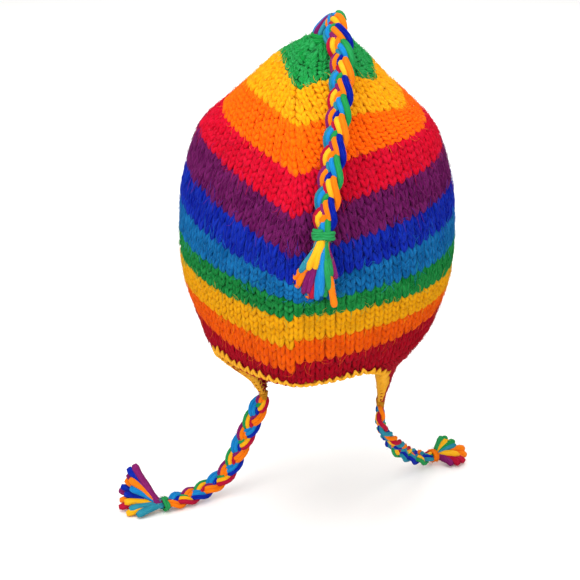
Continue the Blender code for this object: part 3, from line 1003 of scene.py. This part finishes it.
# %% Where the cut ends lie
# dye, then the tip's place: down the back it is sideways and down from the wrap, in metres, and
# whether it lies behind (-1) or in front (1)
TOP_ENDS = (
    ("teal", -0.0150, 0.0255, 0.4),
    ("amber", -0.0185, 0.0385, -0.2),
    ("amber", -0.0225, 0.0350, -0.6),
    ("plum", -0.0136, 0.0415, 0.0),
    ("plum", -0.0098, 0.0405, 0.2),
    ("gold", -0.0095, 0.0225, 1.0),
    ("gold", -0.0048, 0.0220, 1.0),
    ("crimson", -0.0078, 0.0450, -0.2),
    ("amber", -0.0115, 0.0470, -0.8),
    ("sky", -0.0040, 0.0450, 0.2),
    ("sky", -0.0010, 0.0415, 0.6),
    ("leaf", 0.0014, 0.0430, -0.2),
    ("leaf", 0.0042, 0.0370, 0.5),
    ("leaf", 0.0055, 0.0280, 0.2),
    ("plum", 0.0085, 0.0300, -0.6),
    ("amber", 0.0078, 0.0505, -0.4),
)
# for the ties it is the place in the hat's own axes
TIE_ENDS = {
    "left": (
        ("plum", 0.1410, 0.0120, -0.2850), ("blue", 0.1455, 0.0125, -0.2880),
        ("plum", 0.1470, 0.0100, -0.2945), ("amber", 0.1440, 0.0150, -0.2960),
        ("amber", 0.1500, 0.0060, -0.3020), ("sky", 0.1440, 0.0150, -0.3040),
        ("blue", 0.1535, 0.0060, -0.3080), ("blue", 0.1500, 0.0110, -0.3120),
        ("plum", 0.1560, 0.0020, -0.3140), ("gold", 0.1490, 0.0150, -0.3170),
        ("amber", 0.1545, 0.0075, -0.3195), ("teal", 0.1440, 0.0195, -0.3210),
        ("crimson", 0.1540, 0.0130, -0.3230), ("gold", 0.1460, 0.0215, -0.3240),
        ("teal", 0.1370, 0.0235, -0.3235), ("gold", 0.1400, 0.0080, -0.3235),
        ("crimson", 0.1480, 0.0030, -0.3235),
    ),
    "right": (
        ("leaf", -0.0890, -0.1210, -0.3075), ("leaf", -0.0930, -0.1225, -0.3085),
        ("gold", -0.0945, -0.1200, -0.3100), ("leaf", -0.1000, -0.1210, -0.3110),
        ("teal", -0.1015, -0.1190, -0.3140), ("amber", -0.1085, -0.1210, -0.3170),
        ("amber", -0.1105, -0.1190, -0.3215), ("amber", -0.1080, -0.1150, -0.3225),
        ("crimson", -0.1100, -0.1110, -0.3235), ("crimson", -0.1060, -0.1060, -0.3240),
        ("gold", -0.1050, -0.1120, -0.3190), ("plum", -0.1000, -0.1040, -0.3240),
    ),
}
END_RADII = {"top": 0.0025, "left": 0.0030, "right": 0.0030}
SHOULDERS = {"top": 0.30, "left": 0.16, "right": 0.25}  # how far a yarn runs on before it spreads
TASSEL_NODES = {"top": "top_tassel", "left": "tie_left_tassel", "right": "tie_right_tassel"}


# %% Making the tassels
def cut_ends(key, ends):
    """A tassel: a yarn from the plait's end to each tip."""
    end, along, facing, side = plait_end(key)
    start = end + along * (WRAP_STARTS[key] + 0.003)
    wide, thick = BUNDLES[key]
    dyes = sorted({dye for dye, _ in ends})
    radius = END_RADII[key]
    # Where a yarn starts in the bundle follows from where its tip lies.
    starts = np.array([((tip - end).dot(side), (tip - end).dot(facing)) for _, tip in ends])
    starts /= np.abs(starts).max(axis=0) + 1e-6
    if key == "top":
        starts[:, 1] = [front for *_, front in TOP_ENDS]
    bm = new_yarns()
    lines = []
    for number, (dye, tip) in enumerate(ends):
        place = starts[number] / max(1.0, np.linalg.norm(starts[number]))
        root = start + side * place[0] * (wide - radius) + facing * place[1] * (thick - radius)
        out = side * place[0] * 0.5 + facing * (0.6 * place[1] + 0.25)
        reach = np.linalg.norm(tip - root)
        shoulder = root + along * SHOULDERS[key] * reach + out * radius * 1.3
        belly = shoulder * 0.42 + tip * 0.58 + along * 0.05 * reach + out * radius * 1.2
        yarn = smooth_line([root, root + along * 0.004, shoulder, belly, tip], 0.0026)
        thickness = radius * (1 + 0.07 * np.sin(np.arange(len(yarn)) * 0.9 + number))
        add_yarn(bm, yarn, thickness, wool=dyes.index(dye), blunt=0.7)
        lines.append(yarn)
    strays = [strays_along(yarn, tangents(yarn), radius, 12) for yarn in lines]
    stray_dyes = [dyes.index(dye) for dye, _ in ends]
    return yarn_piece(f"cut_ends_{key}", bm, dyes, TASSEL_NODES[key], strays, stray_dyes)


def down_the_back():
    """The top tassel's tips: it hangs flat against the hat."""
    end, along, _, _ = plait_end("top")
    middle = end - along * 0.0035
    return [
        (dye, middle + np.array((-sideways, 0.0030 + 0.0026 * front - 0.05 * down, -down)))
        for dye, sideways, down, front in TOP_ENDS
    ]


tassels = {"top": cut_ends("top", down_the_back())}
for side_name, ends in TIE_ENDS.items():
    tassels[side_name] = cut_ends(side_name, [(dye, np.array(tip)) for dye, *tip in ends])
print(*(piece.name for piece in tassels.values()))

# %% [markdown]
# ## The tip
# The last stitches are drawn together on their yarn, and the plait's yarns are pulled through them
# from inside. So the point is a small green coil with a few coloured loops that rise out of it and
# bend over into the plait.

# %% Drawn-in tip
TIP = np.array((-0.0080, 0.0000, 0.0560))
TIP_COIL = 0.0128  # radius of what shows; the turns beyond it lie inside the fabric
TIP_RISE = 0.0062
TIP_SINK = (0.15, -0.40, -1.25)  # of the turns that don't show, for each metre of their radius
inwards = np.linspace(0.0210, 0.0012, 145)
rise = TIP_RISE * (1 - np.minimum(inwards / TIP_COIL, 1)) ** 0.8
coil = TIP + upright_coil(5.8, inwards, rise)
coil += np.maximum(inwards - TIP_COIL, 0)[:, None] * TIP_SINK
bm = new_yarns()
add_yarn(bm, coil, 0.0024)
yarn_piece("drawn_in_tip", bm, ["green"], "crown")
# dye and degrees round the tip, from the wearer's left
LOOPS = (
    ("sky", 5), ("plum", 32), ("teal", 60), ("leaf", -22), ("sky", 95), ("blue", -50),
    ("amber", 130), ("leaf", 175), ("plum", -90), ("gold", -130),
)
bm = new_yarns()
loop_dyes = sorted({dye for dye, _ in LOOPS})
plait_start = plait_lines["top"]
_, tip_facing, tip_side = square_frames(plait_start, facings["top"])
for dye, degrees in LOOPS:
    out = np.array((cos(radians(degrees)), sin(radians(degrees)), 0))
    stops = [
        TIP + out * 0.0085 + (0, 0, 0.0005),
        TIP + out * 0.0092 + (0, 0, 0.0052),
        TIP * 0.45 + plait_start[0] * 0.55 + out * 0.0058 + (0, 0, 0.0040),
        plait_start[0] + out * 0.0030 + (0, 0, 0.0008),
        plait_start[3] + tip_side[3] * 0.0034 * out[0] + tip_facing[3] * 0.0012,
        plait_start[6] + tip_side[6] * 0.0028 * out[0],
    ]
    add_yarn(bm, smooth_line(stops, STEP), 0.0020, wool=loop_dyes.index(dye))
yarn_piece("tip_loops", bm, loop_dyes, "top_braid")
print(len(LOOPS), "loops at the tip")

# %% The plaits made
print("declared", sorted(plaits))

# %% [markdown]
# ## The yellow edging
# The rim is bound in mustard yarn. It pierces the fabric, goes down over the edge, up the other
# side and back, with one yarn carried along inside the turns, so outside it shows as a row of small
# points. The edge's course is the rim between the flaps and both sides of each flap, taken in the
# middle of the fabric's thickness.

# %% The edge's course
WALL = 0.0055  # thickness of the fabric
EDGE_STEPS = 900  # about a millimetre each


def body_spot(level, turn):
    """A place on the crown's outside, or on a flap's where the level is below 0."""
    line = crown_line if level >= 0 else flap_line
    return line(abs(level), np.array([turn], float))[0]


def body_normal(level, turn):
    around = body_spot(level, turn + 3) - body_spot(level, turn - 3)
    along = body_spot(level + 0.1, turn) - body_spot(level - 0.1, turn)
    return unit(np.cross(around, along))


def edge_course():
    """Level and turn of places round the whole edge, the back first."""
    down = np.linspace(0, FLAP_LEVELS, 24)
    front = flap_edges(0, 1)[1]
    course = [(0, t) for t in np.linspace(flap_edges(0, 1)[0], flap_edges(0, -1)[0], 24)]
    for side, first, last in ((-1, 0, 1), (1, 1, 0)):
        course += [(-d, flap_edges(d, side)[first]) for d in down[1:]]
        tip = flap_edges(FLAP_LEVELS, side)
        course += [(-FLAP_LEVELS, t) for t in np.linspace(tip[first], tip[last], 7)[1:]]
        course += [(-d, flap_edges(d, side)[last]) for d in down[::-1][1:]]
        if side < 0:
            course += [(0, t) for t in np.linspace(-front, front - 360, 24)[1:]]
    return course[:-1]


course = edge_course()
edge_normals = np.array([body_normal(*place) for place in course])
edge_line = np.array([body_spot(*place) for place in course]) - edge_normals * WALL / 2
ring = np.arange(len(course) + 1) % len(course)
edge_fine, edge_length = evenly(edge_line[ring], EDGE_STEPS)
for _ in range(12):
    before, after = (np.roll(edge_fine[:-1], shift, 0) for shift in (1, -1))
    edge_fine[:-1] = (before + 2 * edge_fine[:-1] + after) / 4
    edge_fine[-1] = edge_fine[0]
run = run_along(edge_line[ring])
even = np.linspace(0, run[-1], len(edge_fine))
normal_fine = [np.interp(even, run, edge_normals[ring][:, k]) for k in range(3)]
normal_fine = unit(np.stack(normal_fine, axis=1))
ahead = np.roll(edge_fine[:-1], -1, 0) - np.roll(edge_fine[:-1], 1, 0)
ahead = unit(np.concatenate([ahead, ahead[:1]]))
outwards = np.cross(normal_fine, ahead)
print("edge", round(edge_length * 1000), "mm round")

# %% Binding
POINT_SPACING = 0.0068
POINT_HEIGHT = 0.0057
# One point outside and one inside: off the edge, out of the wall's middle, share of the spacing.
POINT_STOPS = (
    (0.0016, 0.0004, -0.50),
    (-0.0004, 0.0037, -0.33),
    (-0.0032, 0.0041, -0.13),
    (-0.0057, 0.0035, 0.00),
    (-0.0032, 0.0041, 0.13),
    (-0.0004, 0.0037, 0.33),
    (0.0016, 0.0004, 0.48),
    (-0.0004, -0.0032, 0.46),
    (-0.0040, -0.0034, 0.50),
    (-0.0004, -0.0032, 0.54),
)
POINT_THICKNESS = (1.25, 1.25, 1.0, 0.7, 1.0, 1.25, 1.25, 1.1, 0.8, 1.1)  # radii in millimetres


def at_place(grid, place):
    """A value of the edge's course between two of its steps."""
    i = int(np.floor(place))
    return grid[i % EDGE_STEPS] * (i + 1 - place) + grid[(i + 1) % EDGE_STEPS] * (place - i)


def slimness(z):
    """Share of its full size that the edging has at this height: it thins to the flaps' tips."""
    return 0.45 + 0.55 * np.clip((z - FLAP_TIP) / 0.028, 0, 1)


def shortness(spot):
    """1 in the middle of the back, where the points hardly show, and 0 away from it."""
    return np.exp(-(((spot[0] + 0.008) / 0.030) ** 2)) if spot[1] > 0 else 0


points_round = round(edge_length / POINT_SPACING)
stops, thickness = [], []
for number in range(points_round):
    reach = 1 + 0.22 * noise.normal()
    slant = 0.16 * noise.normal()
    for (off, out, forward), thick in zip(POINT_STOPS, POINT_THICKNESS):
        tall = min(0.0, off)
        place = (number + forward - slant * tall / POINT_HEIGHT) * EDGE_STEPS / points_round
        middle = at_place(edge_fine, place)
        slim = slimness(middle[2])
        away = tall * reach * (1 - 0.6 * shortness(middle)) + max(0.0, off)
        away = at_place(outwards, place) * away + at_place(normal_fine, place) * out
        stops.append(middle + away * slim)
        thickness.append(thick * 0.001 * slim)
halves = np.linspace(0, len(stops), 2 * len(stops) + 1)
fine = through(stops + stops[:1], halves)
thickness = np.interp(halves, np.arange(len(stops) + 1), thickness + thickness[:1])
bm = new_yarns()
cuts = np.linspace(0, len(fine) - 1, 9).astype(int)
for first, last in zip(cuts, cuts[1:]):
    add_yarn(bm, fine[first : last + 1], thickness[first : last + 1], 6, blunt=0.9)
carried = (edge_fine + outwards * 0.0008)[:-1:3]
# The carried yarn lies inside the turns and takes a little painted shade.
for part in np.array_split(np.arange(len(carried)), 6):
    part = np.append(part, (part[-1] + 1) % len(carried))
    radii = 0.0019 * slimness(carried[part, 2])
    add_yarn(bm, carried[part], radii, 6, shade=0.15, blunt=0.9)
# A few turns bind each tie to its flap's tip, darkened with painted shade.
neck = upright_coil(4, np.linspace(0.0030, 0.0021, 64), np.linspace(0.0040, -0.0034, 64))
for end in FLAP_END.values():
    add_yarn(bm, end + neck, 0.0010, 6, shade=0.6)
strays = strays_along(edge_fine[::3], ahead[::3], 0.0035, 500)
edging = yarn_piece("bound_edging", bm, ["mustard"], "edge_trim", [strays])
print(points_round, "points,", len(edging.data.polygons), "faces")

# %% [markdown]
# ## Stage and light
# A pale floor under the tie ends and soft light from large lamps show the wool without hard
# shadows. The view is left plain, because the dyes are strong and would turn dull under a filmic
# curve.

# %% Floor and lamps
FLOOR = -0.3265
bm = bmesh.new()
bmesh.ops.create_grid(bm, x_segments=1, y_segments=1, size=6)
floor = new_object("floor", new_mesh("floor", bm))
floor.location.z = FLOOR
paper = bpy.data.materials.new("matt_white_paper")
paper.use_nodes = True
surface = paper.node_tree.nodes["Principled BSDF"]
surface.inputs["Base Color"].default_value = linear("F4F3F1")
surface.inputs["Roughness"].default_value = 0.9
floor.data.materials.append(paper)

# name, place, size in metres, watts
LAMPS = (
    ("overhead", (0.1, 0.5, 1.5), 1.6, 26),
    ("key", (0.9, 1.5, 0.7), 1.2, 14),
    ("fill", (-1.3, 1.3, 0.4), 1.2, 9),
    ("front", (0.2, -1.6, 0.8), 1.4, 12),
)
for lamp_name, place, size, watts in LAMPS:
    lamp_data = bpy.data.lights.new(lamp_name, "AREA")
    lamp_data.size = size
    lamp_data.energy = watts
    lamp = new_object(lamp_name, lamp_data)
    lamp.location = place
    towards_hat = Vector((0, 0, -0.1)) - Vector(place)
    lamp.rotation_euler = towards_hat.to_track_quat("-Z", "Y").to_euler()

world = bpy.data.worlds.new("white_room")
bpy.context.scene.world = world
world.use_nodes = True
background = world.node_tree.nodes["Background"]
background.inputs["Color"].default_value = (1, 1, 1, 1)
background.inputs["Strength"].default_value = 0.75
bpy.context.scene.view_settings.view_transform = "Standard"
print(len(LAMPS), "lamps")
